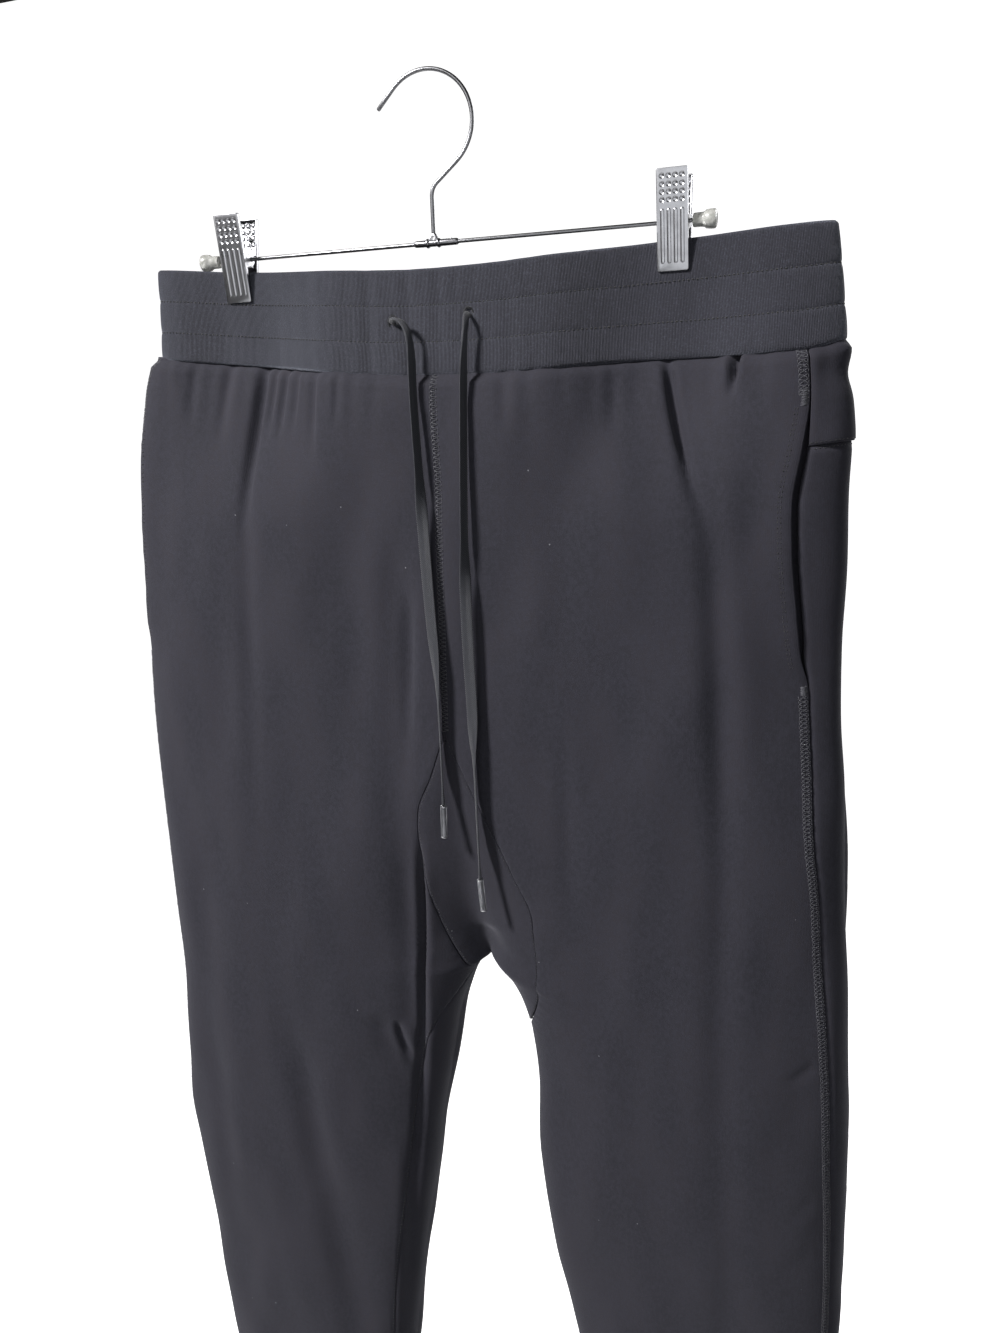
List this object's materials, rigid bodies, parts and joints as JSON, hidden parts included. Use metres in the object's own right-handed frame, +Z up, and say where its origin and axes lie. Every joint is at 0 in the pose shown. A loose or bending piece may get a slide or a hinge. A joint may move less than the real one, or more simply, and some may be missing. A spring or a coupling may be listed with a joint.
{
  "type": "joggers on a clip hanger",
  "caption": "Pair of dark knit joggers with a ribbed elastic waistband, drawstrings, slant pockets and a diamond gusset, hung by the waistband on a metal clip hanger.",
  "frame": {"origin": "inside top of the hanger's hook, where a rail or peg carries it", "axes": "+Z up, +X towards the wearer's left side, -Y towards the garment's front"},
  "size_m": [0.4529, 0.0829, 1.1021],
  "materials": {
    "body_knit": "brushed charcoal jersey knit, matt",
    "band_rib": "fine ribbed elastic knit, matt",
    "drawstring": "flat woven tape, faint sheen",
    "aglet_metal": "dark brushed metal",
    "chrome": "bright plated steel",
    "clear_plastic": "clear greyish soft plastic"
  },
  "bodies": {
    "root": {"waistband": "band_rib", "front_left": "body_knit", "front_right": "body_knit", "back_left": "body_knit", "back_right": "body_knit", "back_yoke": "body_knit", "gusset": "body_knit", "pocket_facing_left": "body_knit", "pocket_facing_right": "body_knit", "cuff_left": "band_rib", "cuff_right": "band_rib", "drawstring_left": "drawstring", "drawstring_right": "drawstring", "aglet_left": "aglet_metal", "aglet_right": "aglet_metal", "hook": "chrome", "bar": "chrome", "bar_collar": "chrome", "knob_left": "clear_plastic", "knob_right": "clear_plastic", "clip_left_front": "chrome", "clip_left_back": "chrome", "clip_left_spring": "chrome", "clip_right_front": "chrome", "clip_right_back": "chrome", "clip_right_spring": "chrome"}
  },
  "joints": []
}
